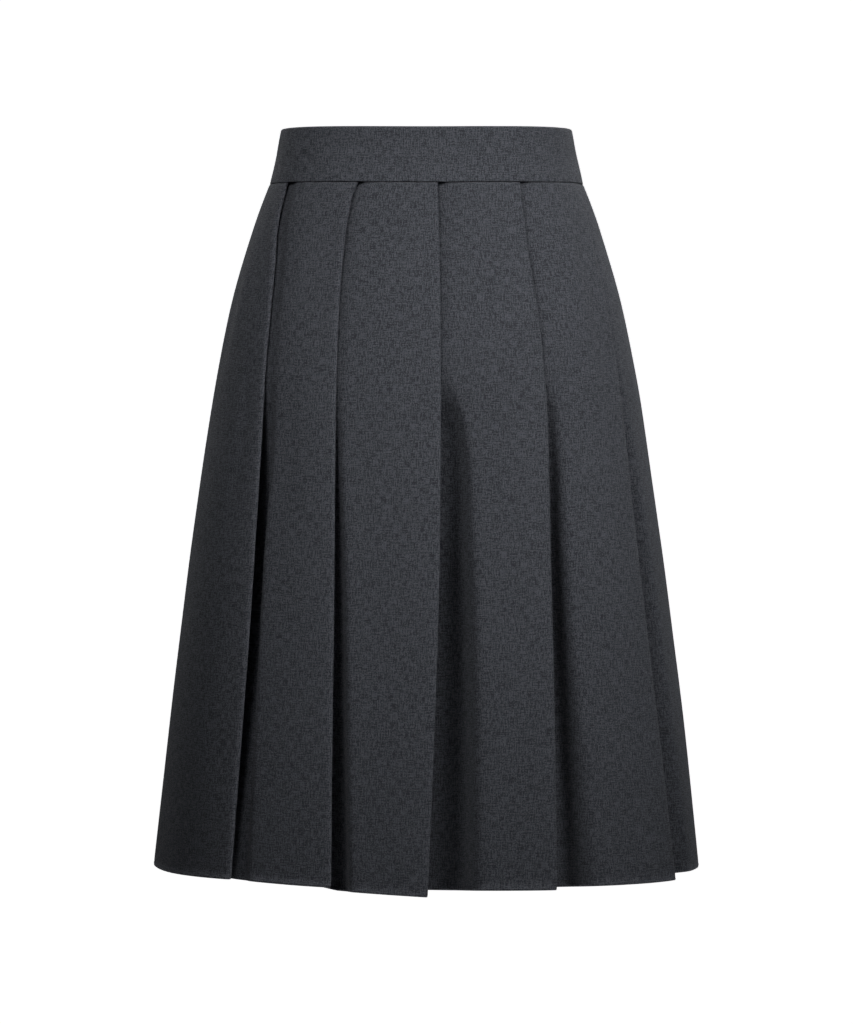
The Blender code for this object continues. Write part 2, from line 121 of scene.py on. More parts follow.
# Reads a value between the rows of a table along a smooth curve
def alongTable(position, places, values):
    order = np.argsort(places)
    places = np.asarray(places, dtype=float)[order]
    values = np.asarray(values, dtype=float)[order]
    slopes = np.gradient(values, places)
    steps = np.diff(values) / np.diff(places)
    for index, step in enumerate(steps):
        for end in (index, index + 1):
            limit = min(abs(slopes[end]), 3.0 * abs(step))
            slopes[end] = 0.0 if slopes[end] * step < 0.0 else math.copysign(limit, step)
    place = min(max(position, places[0]), places[-1])
    index = min(int(np.searchsorted(places, place, side="right")) - 1, len(places) - 2)
    width = places[index + 1] - places[index]
    t = (place - places[index]) / width
    start = values[index] * (1 + 2 * t) * (1 - t) ** 2 + slopes[index] * width * t * (1 - t) ** 2
    return start + values[index + 1] * t * t * (3 - 2 * t) + slopes[index + 1] * width * t * t * (t - 1)


def between(ends, share):
    return ends[0] + (ends[1] - ends[0]) * share


# The outline of the garment at one height, read by arc length from the centre front
class Ring:
    def __init__(self, girth, height):
        heights = [row[0] for row in girth]
        halfWidth, front, back = (
            alongTable(height, heights, [row[place] for row in girth]) for place in (1, 2, 3)
        )
        angle = np.linspace(0.0, 2.0 * math.pi, form["ringSteps"] + 1)
        power = 2.0 / form["roundness"]
        depth = np.where(np.cos(angle) > 0.0, front, back)
        self.x = halfWidth * np.sign(np.sin(angle)) * np.abs(np.sin(angle)) ** power
        self.y = -depth * np.sign(np.cos(angle)) * np.abs(np.cos(angle)) ** power
        self.arc = np.concatenate(([0.0], np.cumsum(np.hypot(np.diff(self.x), np.diff(self.y)))))
        self.length = self.arc[-1]

    def place(self, arcs):
        arcs = np.asarray(arcs) % self.length
        return np.stack((np.interp(arcs, self.arc, self.x), np.interp(arcs, self.arc, self.y)), axis=1)

    # Points at these arc lengths, moved inward across the ring, at one height or one height each
    def points(self, arcs, inward, heights):
        arcs = np.asarray(arcs, dtype=float)
        ahead = self.place(arcs + form["tangentReach"]) - self.place(arcs - form["tangentReach"])
        ahead /= np.linalg.norm(ahead, axis=1)[:, None]
        across = np.stack((-ahead[:, 1], ahead[:, 0]), axis=1)
        spot = self.place(arcs) + across * np.asarray(inward, dtype=float)[:, None]
        heights = np.broadcast_to(heights, arcs.shape)
        frontal = (1.0 + np.cos(2.0 * math.pi * arcs / self.length)) / 2.0
        dip = form["centreDip"] * frontal ** form["dipPower"]
        dip = dip * np.maximum(0.0, 1.0 + np.minimum(heights - form["bandFoot"], 0.0) / form["dipFade"])
        return np.column_stack((spot, heights - dip)) * mm


# One fold edge at one height: where it runs and how far its pleat stands open
class Fold:
    def __init__(self, index, height, ring):
        letter, shares = foldShares[index % len(foldShares)]
        opening = dict(zip(openingColumns, openings[letter]))
        depths = [pleat["laidDepth"]] * 2 + [opening[name] for name in openingColumns[:3]]
        down = min(max((height - form["bandFoot"]) / (form["hem"] - form["bandFoot"]), 0.0), 1.0)
        turns = index // len(foldShares)
        self.letter = letter
        self.down = down
        self.tip = ring.length * (turns + alongTable(height, foldHeights, shares) / 100.0)
        self.depth = alongTable(height, openingHeights, depths)
        self.open = alongTable(height, openingHeights, pleat["openness"])
        self.radius = between(pleat["foldRadius"], down)
        self.underlay = between(pleat["underlay"], down)
        self.crease = pleat["layer"] + self.open * (pleat["creaseShare"] * self.depth + pleat["creaseExtra"])
        fade = down ** pleat["dropPower"]
        gutters = [opening["gutterLaid"]] * 2 + [opening[name] for name in openingColumns[6:]]
        self.gutter = alongTable(height, openingHeights, gutters)
        self.tipDrop = opening["tipDrop"] * fade
        self.settle = pleat["settle"] * fade
        self.baseDrop = opening["startDrop"] * fade
        self.startDrop = self.baseDrop + self.settle * self.depth
        self.innerLift = pleat["innerLift"] * fade


# Creases pressed or hung into the panels, after the photo on the front and like them on the hidden sides.
# A row: panel by the fold that ends it, share of the panel's width at the top and foot of the crease,
# heights of top and foot, half width, depth inward
creaseColumns = ("panel", "topShare", "footShare", "top", "foot", "halfWidth", "depth")
creases = (
    ("a", 0.90, 0.83, -165.0, -345.0, 7.0, 1.3),
    ("a", 0.72, 0.66, -62.0, -170.0, 9.0, -1.3),
    ("a", 0.60, 0.50, -110.0, -205.0, 10.0, 1.2),
    ("a", 0.955, 0.955, -20.0, -130.0, 3.2, -0.9),
    ("b", 0.945, 0.95, -20.0, -135.0, 3.4, -0.9),
    ("b", 0.30, 0.42, -150.0, -420.0, 16.0, 0.9),
    ("c", 0.36, 0.44, -230.0, -560.0, 18.0, 0.8),
    ("c", 0.75, 0.70, -420.0, -660.0, 14.0, -0.7),
    ("d", 0.55, 0.62, -300.0, -640.0, 18.0, 0.7),
    ("e", 0.48, 0.66, -30.0, -230.0, 12.0, -1.6),
    ("e", 0.72, 0.80, -50.0, -260.0, 10.0, 1.1),
    ("e", 0.96, 0.96, -20.0, -200.0, 3.0, -0.6),
    ("e", 0.55, 0.60, -380.0, -660.0, 20.0, 0.9),
    ("f", 0.40, 0.48, -60.0, -300.0, 12.0, 1.3),
    ("f", 0.70, 0.62, -330.0, -650.0, 16.0, -1.0),
    ("g", 0.90, 0.84, -140.0, -330.0, 8.0, 1.2),
    ("g", 0.45, 0.52, -260.0, -600.0, 18.0, 0.9),
    ("h", 0.30, 0.38, -50.0, -240.0, 13.0, 1.1),
    ("h", 0.62, 0.56, -300.0, -650.0, 17.0, -0.9),
    ("i", 0.88, 0.84, -90.0, -260.0, 8.0, 1.2),
    ("i", 0.40, 0.50, -280.0, -610.0, 17.0, 0.9),
    ("j", 0.52, 0.44, -60.0, -290.0, 13.0, -1.2),
    ("j", 0.74, 0.66, -180.0, -480.0, 12.0, 1.1),
)
creaseFade = 0.8
ripple = {"size": 85.0, "tall": 2.6, "depth": 0.9, "fineSize": 30.0, "fineDepth": 0.22, "fade": 120.0}


def creaseDepth(letter, share, run, height):
    total = 0.0
    for row in creases:
        crease = dict(zip(creaseColumns, row))
        if crease["panel"] != letter or not crease["foot"] < height < crease["top"]:
            continue
        along = (crease["top"] - height) / (crease["top"] - crease["foot"])
        middle = between((crease["topShare"], crease["footShare"]), along)
        aside = (share - middle) * run / crease["halfWidth"]
        total += crease["depth"] * math.exp(-aside * aside) * math.sin(math.pi * along) ** creaseFade
    return total


# The slight unevenness of cloth that hangs free, the same on each run
def rippleDepth(arc, height):
    broad = Vector((arc / ripple["size"], height / ripple["size"] / ripple["tall"], 0.0))
    fine = Vector((arc / ripple["fineSize"], height / ripple["fineSize"] / ripple["tall"], 7.0))
    free = min(max((form["bandFoot"] - height) / ripple["fade"], 0.0), 1.0)
    return free * (ripple["depth"] * noise.noise(broad) + ripple["fineDepth"] * noise.noise(fine))


# How much of a pleat's depth is left at a distance beside the fold edge: the gutter, a wall, then the panel
def beside(before, distance, along):
    soft = between(pleat["wallSoftLeast"], before.open) + pleat["wallSoftness"] * before.gutter
    wall = 1.0 / (1.0 + math.exp(min((distance - before.gutter) / soft, 40.0)))
    share = between(pleat["wallShare"], before.open)
    return (1.0 - share) * (1.0 - along) ** pleat["panelCurve"] + share * wall


# Numbers of points along a panel, a hidden layer and the turn of a fold edge, and how they are placed
detail = {
    "panel": 42,
    "layer": 5,
    "turn": 6,
    "panelStart": 0.03,
    "tipReach": 2.2,
    "holdAtTip": 6.0,
    "holdAtStart": 10.0,
    "layerStart": 0.08,
    "creaseTurn": 0.75,
    "creaseEdge": (0.2, 0.22, 0.78),
}


# Arc length, depth and drop of the points from beside one fold edge to underneath the next
def pleatPoints(before, fold, height):
    run = fold.tip - before.tip
    flat = run - fold.underlay
    rise = flat + fold.underlay * before.open
    radius = fold.radius
    layer = pleat["layer"]
    points = []

    def panelDrop(arc):
        return between((before.baseDrop, fold.tipDrop), (arc - before.tip) / run)

    def addPanel(arc):
        along = min((arc - before.tip) / rise, 1.0)
        depth = before.depth * beside(before, arc - before.tip, along)
        share = (arc - before.tip) / run
        drop = panelDrop(arc) + before.settle * depth
        hold = min(1.0, (1.0 - share) * run / detail["holdAtTip"])
        hold *= min(1.0, share * run / detail["holdAtStart"])
        depth += creaseDepth(fold.letter, share, run, height) + rippleDepth(arc, height) * hold
        points.append((arc, depth, drop))

    def addLayer(share, atTip, atCrease, dropAtTip):
        dropAtCrease = panelDrop(fold.tip - fold.underlay) - fold.innerLift
        arc = fold.tip - fold.underlay * share
        points.append((arc, between((atTip, atCrease), share), between((dropAtTip, dropAtCrease), share)))

    tipStart = fold.tip - detail["tipReach"] * radius
    first = before.tip + detail["panelStart"] * flat
    for arc in np.linspace(first, tipStart, detail["panel"]):
        addPanel(arc)

    # The fold edge turns through half a circle
    held = points[-1][1]
    for turn in np.linspace(-90.0, 90.0, detail["turn"])[1:-1]:
        angle = math.radians(turn)
        arc = fold.tip - radius + radius * math.cos(angle)
        points.append((arc, held + radius + radius * math.sin(angle), fold.tipDrop))

    # The cloth folded back, the inner crease, and the cloth that comes forward again
    nearCrease = 1.0 - detail["creaseTurn"] * layer / fold.underlay
    edge, outer, inner = detail["creaseEdge"]
    for share in np.linspace(detail["layerStart"], nearCrease, detail["layer"]):
        addLayer(share, 2.0 * radius, fold.crease, fold.tipDrop)
    addLayer(1.0 - edge * layer / fold.underlay, outer * layer, fold.crease + outer * layer, fold.tipDrop)
    addLayer(1.0, 0.0, fold.crease + layer / 2.0, fold.tipDrop)
    addLayer(1.0 - edge * layer / fold.underlay, fold.depth, fold.crease + inner * layer, fold.startDrop)
    for share in np.linspace(nearCrease, pleat["seamUnderFold"] / fold.underlay, detail["layer"]):
        addLayer(share, fold.depth, fold.crease + layer, fold.startDrop)
    return points


# One row round a skirt panel, from the seam under one fold edge to the seam under another
def skirtProfile(first, last, height):
    ring = Ring(skirtGirth, height)
    folds = [Fold(index, height, ring) for index in range(first, last + 1)]
    start = folds[0]
    profile = [(start.tip - pleat["seamUnderFold"] + pleat["seamGap"] / 2.0, start.depth, start.startDrop)]
    for before, fold in zip(folds, folds[1:]):
        profile.extend(pleatPoints(before, fold, height))
    arc, depth, drop = profile[-1]
    profile[-1] = (arc - pleat["seamGap"] / 2.0, depth, drop)
    return ring, np.array(profile)


hemFold = {"turnUp": 38.0, "rows": 5, "offset": 1.25, "turnSteps": 5, "edge": 1.2}
wallRows = {"upper": -60.0, "lowerRows": 98, "start": -56.0, "waist": -24.6, "upperRows": 9}
# The last rows under the band: where they are read, how far they tuck inward, their height, and how far the
# cloth that lies deeper than the band rises behind it
waistTuck = ((-23.4, 0.0, -23.9, 0.0), (-23.2, 0.35, -23.35, 3.0), (-23.1, 1.1, -23.15, 8.0))
waistBehind = {"depth": 2.2, "blend": 0.8}


# Rows of points from just above the hem's edge up to the waist
def skirtRows(first, last):
    lower = np.linspace(form["hem"] + hemFold["edge"], wallRows["upper"], wallRows["lowerRows"])
    upper = np.linspace(wallRows["start"], wallRows["waist"], wallRows["upperRows"])
    rows = []
    for height in np.concatenate((lower, upper)):
        ring, profile = skirtProfile(first, last, height)
        rows.append(ring.points(profile[:, 0], profile[:, 1], height - profile[:, 2]))
    for height, inward, place, rise in waistTuck:
        ring, profile = skirtProfile(first, last, height)
        behind = np.clip((profile[:, 1] - waistBehind["depth"]) / waistBehind["blend"], 0.0, 1.0)
        depths = profile[:, 1] + inward * (1.0 - behind)
        rows.append(ring.points(profile[:, 0], depths, place + rise * behind - profile[:, 2]))
    return rows


# Moves a row of points towards the inside of the cloth
def insideOf(row, offset):
    ahead = np.gradient(row[:, :2], axis=0)
    ahead /= np.maximum(np.linalg.norm(ahead, axis=1), 1e-9)[:, None]
    moved = row.copy()
    moved[:, 0] -= ahead[:, 1] * offset * mm
    moved[:, 1] += ahead[:, 0] * offset * mm
    return moved


# Rows of points from the top of the turned up hem, down the inside and round the hem's edge
def hemRows(first, last):
    hem = form["hem"]
    edge = hemFold["edge"]
    rows = []
    for height in np.linspace(hem + hemFold["turnUp"], hem + edge, hemFold["rows"]):
        ring, profile = skirtProfile(first, last, height)
        row = ring.points(profile[:, 0], profile[:, 1], height - profile[:, 2])
        rows.append(insideOf(row, hemFold["offset"]))
    ring, profile = skirtProfile(first, last, hem)
    radius = hemFold["offset"] / 2.0
    for turn in np.linspace(0.0, 180.0, hemFold["turnSteps"]):
        angle = math.radians(turn)
        lift = edge - edge * math.sin(angle)
        row = ring.points(profile[:, 0], profile[:, 1], hem + lift - profile[:, 2])
        rows.append(insideOf(row, radius + radius * math.cos(angle)))
    return rows


def gridMesh(name, rows, widths, heights):
    mesh = bpy.data.meshes.new(name)
    work = bmesh.new()
    columns = len(rows[0])
    bmesh.ops.create_grid(work, x_segments=columns - 1, y_segments=len(rows) - 1, size=1.0)
    work.verts.ensure_lookup_table()
    grain = work.loops.layers.uv.new("grain")
    places = np.concatenate(rows)
    for vertex, place in zip(work.verts, places):
        vertex.co = place
    for face in work.faces:
        face.smooth = True
        for loop in face.loops:
            row, spot = divmod(loop.vert.index, columns)
            loop[grain].uv = (widths[row][spot], heights[row])
    work.to_mesh(mesh)
    work.free()
    return mesh


def addPiece(name, mesh, finish):
    piece = bpy.data.objects.new(name, mesh)
    bpy.context.scene.collection.objects.link(piece)
    piece.data.materials.append(finish)
    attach(piece, "skirt")
    return piece


# Maths on shader sockets, written as Python expressions
class Signal:
    def __init__(self, finish, socket):
        self.finish = finish
        self.socket = socket

    def maths(self, operation, *values):
        sockets = dict(enumerate(values))
        return self.finish.node("ShaderNodeMath", {"operation": operation}, sockets)

    def __add__(self, other):
        return self.maths("ADD", self, other)

    def __sub__(self, other):
        return self.maths("SUBTRACT", self, other)

    def __rsub__(self, other):
        return self.maths("SUBTRACT", other, self)

    def __mul__(self, other):
        return self.maths("MULTIPLY", self, other)

    def sine(self):
        return self.maths("SINE", self)

    def clamped(self, low, high):
        sockets = {"Value": self, "From Min": low, "From Max": high, "To Min": 0.0, "To Max": 1.0}
        return self.finish.node("ShaderNodeMapRange", {"interpolation_type": "SMOOTHSTEP"}, sockets)

    __radd__ = __add__
    __rmul__ = __mul__


# One material and the nodes in it
class Finish:
    def __init__(self, name):
        self.material = bpy.data.materials.new(name)
        self.material.use_nodes = True
        self.tree = self.material.node_tree
        self.tree.nodes.clear()

    def node(self, kind, settings=None, sockets=None, output=0):
        made = self.tree.nodes.new(kind)
        for name, value in (settings or {}).items():
            setattr(made, name, value)
        for name, value in (sockets or {}).items():
            if isinstance(value, Signal):
                self.tree.links.new(value.socket, made.inputs[name])
            else:
                made.inputs[name].default_value = value
        return Signal(self, made.outputs[output]) if made.outputs else None

    def stretched(self, place, scale, shift=(0.0, 0.0, 0.0)):
        return self.node("ShaderNodeMapping", {}, {"Vector": place, "Scale": scale, "Location": shift})

    def speckle(self, place, scale, detail=1.0, rough=0.5):
        sockets = {"Vector": place, "Scale": scale, "Detail": detail, "Roughness": rough}
        return self.node("ShaderNodeTexNoise", {}, sockets, "Fac")

    def mix(self, share, first, second, blend="MIX"):
        settings = {"data_type": "RGBA", "blend_type": blend}
        return self.node("ShaderNodeMix", settings, {0: share, 6: first, 7: second}, 2)

    def bump(self, height, strength, distance):
        sockets = {"Height": height, "Strength": strength, "Distance": distance}
        return self.node("ShaderNodeBump", {}, sockets)

    # The cloth's own layout, read in millimetres
    def grain(self):
        layout = self.node("ShaderNodeUVMap", {"uv_map": "grain"})
        sockets = {0: layout, 1: (1.0 / mm, 1.0 / mm, 1.0)}
        return self.node("ShaderNodeVectorMath", {"operation": "MULTIPLY"}, sockets)

    def close(self, sockets):
        shader = self.node("ShaderNodeBsdfPrincipled", {}, sockets)
        self.node("ShaderNodeOutputMaterial", {}, {"Surface": shader})
        return self.material


suiting = {
    "deep": (0.030, 0.0325, 0.040, 1.0),
    "pale": (0.093, 0.098, 0.113, 1.0),
    "bright": (0.17, 0.175, 0.19, 1.0),
    "thread": 0.5,
    "slubWide": 0.82,
    "slubLong": 8.0,
    "weftShift": (3.7, 9.1, 4.0),
    "fleckSize": (0.95, 0.8, 1.0),
    "fleckShift": (11.0, 5.0, 8.0),
    "cloudSize": (0.03, 0.018, 1.0),
    "cloudShift": (2.0, 6.0, 1.0),
    "warpTone": 4.4,
    "weftTone": 3.6,
    "fleckTone": 3.8,
    "cloudTone": 0.3,
    "weaveTone": 0.1,
    "toneRange": (-0.25, 1.25),
    "brightRange": (0.60, 0.76),
    "brightShare": 0.4,
    "yarnBump": 0.9,
    "weaveBump": 0.5,
    "relief": (0.5, 0.00035),
    "roughness": 0.92,
    "sheen": 0.03,
    "sheenRoughness": 0.5,
    "specular": 0.25,
}


# Fine wool suiting: dark and pale fibres mixed in the yarn, thin slubs both ways, a close plain weave
def makeSuiting(name, lift):
    finish = Finish(name)
    place = finish.grain()
    wide = 1.0 / suiting["slubWide"]
    long = 1.0 / suiting["slubLong"]
    warp = finish.speckle(finish.stretched(place, (wide, long, 1.0)), 1.0, 2.0)
    weft = finish.speckle(finish.stretched(place, (long, wide, 1.0), suiting["weftShift"]), 1.0, 2.0)
    fleck = finish.speckle(finish.stretched(place, suiting["fleckSize"], suiting["fleckShift"]), 1.0, 1.0)
    cloud = finish.speckle(finish.stretched(place, suiting["cloudSize"], suiting["cloudShift"]), 1.0, 2.0)
    across = finish.node("ShaderNodeSeparateXYZ", {}, {"Vector": place})
    down = Signal(finish, across.socket.node.outputs[1])
    pace = 2.0 * math.pi / suiting["thread"]
    weave = (across * pace).sine() * (down * pace).sine()
    tone = 0.5 + (warp - 0.5) * suiting["warpTone"] + (weft - 0.5) * suiting["weftTone"]
    tone = tone + (fleck - 0.5) * suiting["fleckTone"] + (cloud - 0.5) * suiting["cloudTone"]
    tone = tone + weave * suiting["weaveTone"]
    bright = fleck.clamped(*suiting["brightRange"]) * suiting["brightShare"]
    colour = finish.mix(tone.clamped(*suiting["toneRange"]), suiting["deep"], suiting["pale"])
    colour = finish.mix(bright, colour, suiting["bright"])
    # Multiplies the colour by lift: above 1 this makes a lighter copy of the same suiting, which is painted
    # light
    colour = finish.mix(1.0, colour, (lift, lift, lift, 1.0), "MULTIPLY")
    relief = weave * suiting["weaveBump"] + warp * suiting["yarnBump"] + weft * suiting["yarnBump"]
    surface = finish.bump(relief, *suiting["relief"])
    return finish.close({
        "Base Color": colour,
        "Roughness": suiting["roughness"],
        "Sheen Weight": suiting["sheen"],
        "Sheen Roughness": suiting["sheenRoughness"],
        "Specular IOR Level": suiting["specular"],
        "Normal": surface,
    })


tapeFinish = {
    "deep": (0.020, 0.021, 0.025, 1.0),
    "pale": (0.045, 0.047, 0.053, 1.0),
    "rib": 0.9,
    "ribTone": 0.5,
    "slantTone": 0.25,
    "fibreScale": 1.3,
    "toneRange": (0.0, 1.4),
    "relief": (0.6, 0.0003),
    "roughness": 0.85,
}


def makeTape():
    finish = Finish("zip tape")
    place = finish.grain()
    across = finish.node("ShaderNodeSeparateXYZ", {}, {"Vector": place})
    down = Signal(finish, across.socket.node.outputs[1])
    pace = 2.0 * math.pi / tapeFinish["rib"]
    slant = (down * pace + across * 2.0 * pace).sine()
    rib = (across * pace).sine() * tapeFinish["ribTone"] + slant * tapeFinish["slantTone"]
    fibre = finish.speckle(place, tapeFinish["fibreScale"], 2.0)
    tone = (rib + fibre).clamped(*tapeFinish["toneRange"])
    colour = finish.mix(tone, tapeFinish["deep"], tapeFinish["pale"])
    return finish.close({
        "Base Color": colour,
        "Roughness": tapeFinish["roughness"],
        "Normal": finish.bump(rib, *tapeFinish["relief"]),
    })


metalFinish = {
    "base": (0.060, 0.062, 0.068, 1.0),
    "worn": (0.20, 0.20, 0.21, 1.0),
    "mottleScale": 900.0,
    "scratchScale": (2500.0, 300.0, 300.0),
    "scratchRange": (0.6, 0.8),
    "scratchShare": 0.4,
    "metallic": 0.85,
    "roughness": 0.32,
    "roughSpan": 0.2,
    "relief": (0.15, 0.0001),
}


def makeMetal():
    finish = Finish("zip metal")
    place = finish.node("ShaderNodeTexCoord", {}, {}, "Object")
    mottle = finish.speckle(place, metalFinish["mottleScale"], 3.0)
    scratch = finish.speckle(finish.stretched(place, metalFinish["scratchScale"]), 1.0, 2.0)
    share = scratch.clamped(*metalFinish["scratchRange"]) * metalFinish["scratchShare"]
    colour = finish.mix(share, metalFinish["base"], metalFinish["worn"])
    return finish.close({
        "Base Color": colour,
        "Metallic": metalFinish["metallic"],
        "Roughness": metalFinish["roughness"] + mottle * metalFinish["roughSpan"],
        "Normal": finish.bump(mottle, *metalFinish["relief"]),
    })


# Distance along a line of points, from its first one
def lengthsAlong(points):
    steps = np.linalg.norm(np.diff(points, axis=0), axis=1)
    return np.concatenate(([0.0], np.cumsum(steps)))


# Distance across the cloth in metres for each point: the weave keeps its size and runs straight down a panel
def clothWidths(rows, perPleat):
    middle = perPleat // 3
    total = lengthsAlong(rows[len(rows) // 2])
    widths = []
    for row in rows:
        along = lengthsAlong(row)
        shifted = along.copy()
        for start in range(0, len(row), perPleat):
            stop = min(start + perPleat, len(row))
            centre = min(start + middle, len(row) - 1)
            shifted[start:stop] += total[centre] - along[centre]
        widths.append(shifted)
    return widths


skirtCloth = {"thickness": 0.9, "measuredColumn": 20}
# Piece, its node, first and last fold, flat size and area
skirtPieces = (
    ("front_cloth", "front_skirt", -1, 4, (1.08, 0.655), 0.62),
    ("back_left_cloth", "back_left_skirt", 4, 7, (0.71, 0.655), 0.43),
    ("back_right_cloth", "back_right_skirt", 7, 9, (0.47, 0.655), 0.27),
)


def makeSkirtPanel(name, node, first, last, flat, area, finish):
    wall = skirtRows(first, last)
    inner = hemRows(first, last)
    rows = inner + wall
    perPleat = (len(wall[0]) - 1) // (last - first)
    widths = clothWidths(rows, perPleat)
    down = lengthsAlong([row[skirtCloth["measuredColumn"]] for row in rows])
    piece = addPiece(name, gridMesh(name, rows, widths, down), finish)
    wallStep = piece.modifiers.new("cloth", "SOLIDIFY")
    wallStep.thickness = skirtCloth["thickness"] * mm
    wallStep.offset = 0.0
    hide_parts(node)
    print(name, len(rows), "rows of", len(rows[0]), "width at hem", round(float(widths[len(inner)][-1]), 3))


# The side gap is negative: the pieces overlap a little there, so that no light shows through the seam
band = {
    "thickness": 3.0,
    "inward": 0.9,
    "footRound": 0.7,
    "footNear": 0.3,
    "splitWidens": 6.0,
    "splitHalf": 1.7,
    "sideGap": -0.2,
    "backGap": 0.3,
    "rows": 30,
    "innerRows": 12,
    "topTurns": (30.0, 60.0, 90.0, 120.0, 150.0),
    "dentFade": 8.0,
    "dentRise": 6.0,
    "unevenLong": 38.0,
    "unevenTall": 60.0,
    "uneven": 0.35,
    "measuredColumn": 5,
    "endRound": 0.35,
    "endAngle": 60.0,
}
# Dents pressed into the band: arc length and height of the middle, half length and half height, turn in
# degrees, depth
bandDents = (
    (-109.0, -4.0, 9.0, 5.0, -42.0, 1.1),
    (-120.0, 4.0, 8.0, 12.0, 15.0, -0.7),
    (101.0, 3.0, 4.0, 16.0, 40.0, -0.9),
    (118.0, -1.0, 10.0, 14.0, 10.0, 0.9),
    (-60.0, 10.0, 22.0, 6.0, 0.0, 0.35),
    (48.0, -9.0, 26.0, 6.0, 8.0, 0.35),
    (170.0, 2.0, 14.0, 9.0, 30.0, 0.7),
    (262.0, -3.0, 16.0, 8.0, -25.0, 0.8),
    (-190.0, 0.0, 15.0, 9.0, -20.0, 0.8),
    (-285.0, 5.0, 20.0, 7.0, 15.0, 0.6),
)


def dentDepth(arc, height):
    total = 0.0
    for middle, level, halfLong, halfTall, turn, depth in bandDents:
        angle = math.radians(turn)
        aside = (arc - middle) * math.cos(angle) + (height - level) * math.sin(angle)
        up = -(arc - middle) * math.sin(angle) + (height - level) * math.cos(angle)
        total += depth * math.exp(-((aside / halfLong) ** 2) - (up / halfTall) ** 2)
    place = Vector((arc / band["unevenLong"], height / band["unevenTall"], 3.0))
    return total + band["uneven"] * noise.noise(place)


# The band's cross section as outward offset and height, up the outside, over the fold and down the inside
def bandSection():
    half = band["thickness"] / 2.0
    foot = form["bandFoot"]
    top = form["bandTop"] - half
    small = band["footRound"]
    near = band["footNear"] * small
    section = [(half - small, foot, 0.0), (half - near, foot + near, 0.0), (half, foot + small, 0.0)]
    for height in np.linspace(foot + 2.0 * small, top, band["rows"]):
        section.append((half, height, 1.0))
    for turn in band["topTurns"]:
        angle = math.radians(turn)
        section.append((half * math.cos(angle), top + half * math.sin(angle), 1.0))
    for height in np.linspace(top, foot + small, band["innerRows"]):
        section.append((-half, height, 1.0))
    section.append((-half + near, foot + near, 0.0))
    section.append((-half + small, foot, 0.0))
    return section


# A band from one share of the way round to another, with a widening slit at each end that splits names
def makeBand(name, node, start, end, steps, splits, finish):
    section = bandSection()
    rows = []
    arcsByRow = []
    for outward, height, soft in section:
        ring = Ring(bandGirth, height)
        wide = band["splitHalf"] if height > band["splitWidens"] else band["backGap"]
        first = ring.length * start + (wide if splits[0] else band["sideGap"])
        final = ring.length * end - (wide if splits[1] else band["sideGap"])
        arcs = np.linspace(first, final, steps)
        scaled = [arc if arc < ring.length * 0.5 else arc - ring.length for arc in arcs]
        hold = [min(1.0, (arc - first) / band["dentFade"], (final - arc) / band["dentFade"]) for arc in arcs]
        rise = soft * min(1.0, (height - form["bandFoot"]) / band["dentRise"])
        dents = [dentDepth(arc, height) * part * rise for arc, part in zip(scaled, hold)]
        rows.append(ring.points(arcs, band["inward"] - outward + np.array(dents), height))
        arcsByRow.append(arcs * mm)
    around = lengthsAlong([row[band["measuredColumn"]] for row in rows])
    mesh = gridMesh(name, rows, arcsByRow, around)
    work = bmesh.new()
    work.from_mesh(mesh)
    work.edges.ensure_lookup_table()
    rims = [edge for edge in work.edges if edge.is_boundary]
    foot = [edge for edge in rims if abs(edge.verts[0].index - edge.verts[1].index) == 1]
    bmesh.ops.bridge_loops(work, edges=foot)
    ends = [edge for edge in work.edges if edge.is_boundary]
    bmesh.ops.holes_fill(work, edges=ends, sides=0)
    bmesh.ops.recalc_face_normals(work, faces=work.faces)
    work.to_mesh(mesh)
    work.free()
    piece = addPiece(name, mesh, finish)
    edgeStep = piece.modifiers.new("pressed ends", "BEVEL")
    edgeStep.width = band["endRound"] * mm
    edgeStep.segments = 2
    edgeStep.limit_method = "ANGLE"
    edgeStep.angle_limit = math.radians(band["endAngle"])
    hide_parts(node)


zipParts = {
    "pitch": 1.5,
    "top": 4.0,
    "foot": -194.0,
    "toothWide": 3.4,
    "toothTall": 0.8,
    "toothDeep": 1.0,
    "toothSegments": 8,
    "toothRings": 6,
    "aside": 2.0,
    "above": 3.0,
    "backFold": 7,
    "cloth": 1.0,
    "tapeThick": 1.0,
}


# A point on the zip's line at one height, aside from it and behind the cloth
def tapePlace(height, aside, behind):
    if height >= form["bandFoot"]:
        ring = Ring(bandGirth, height)
        inward = band["inward"] + band["thickness"] / 2.0 + behind
        return Vector(ring.points([ring.length / 2.0 + aside], [inward], height)[0])
    ring = Ring(skirtGirth, height)
    fold = Fold(zipParts["backFold"], height, ring)
    inner = max(fold.depth, fold.crease + pleat["layer"]) + zipParts["cloth"] / 2.0
    return Vector(ring.points([fold.tip - pleat["seamUnderFold"] + aside], [inner + behind], height)[0])


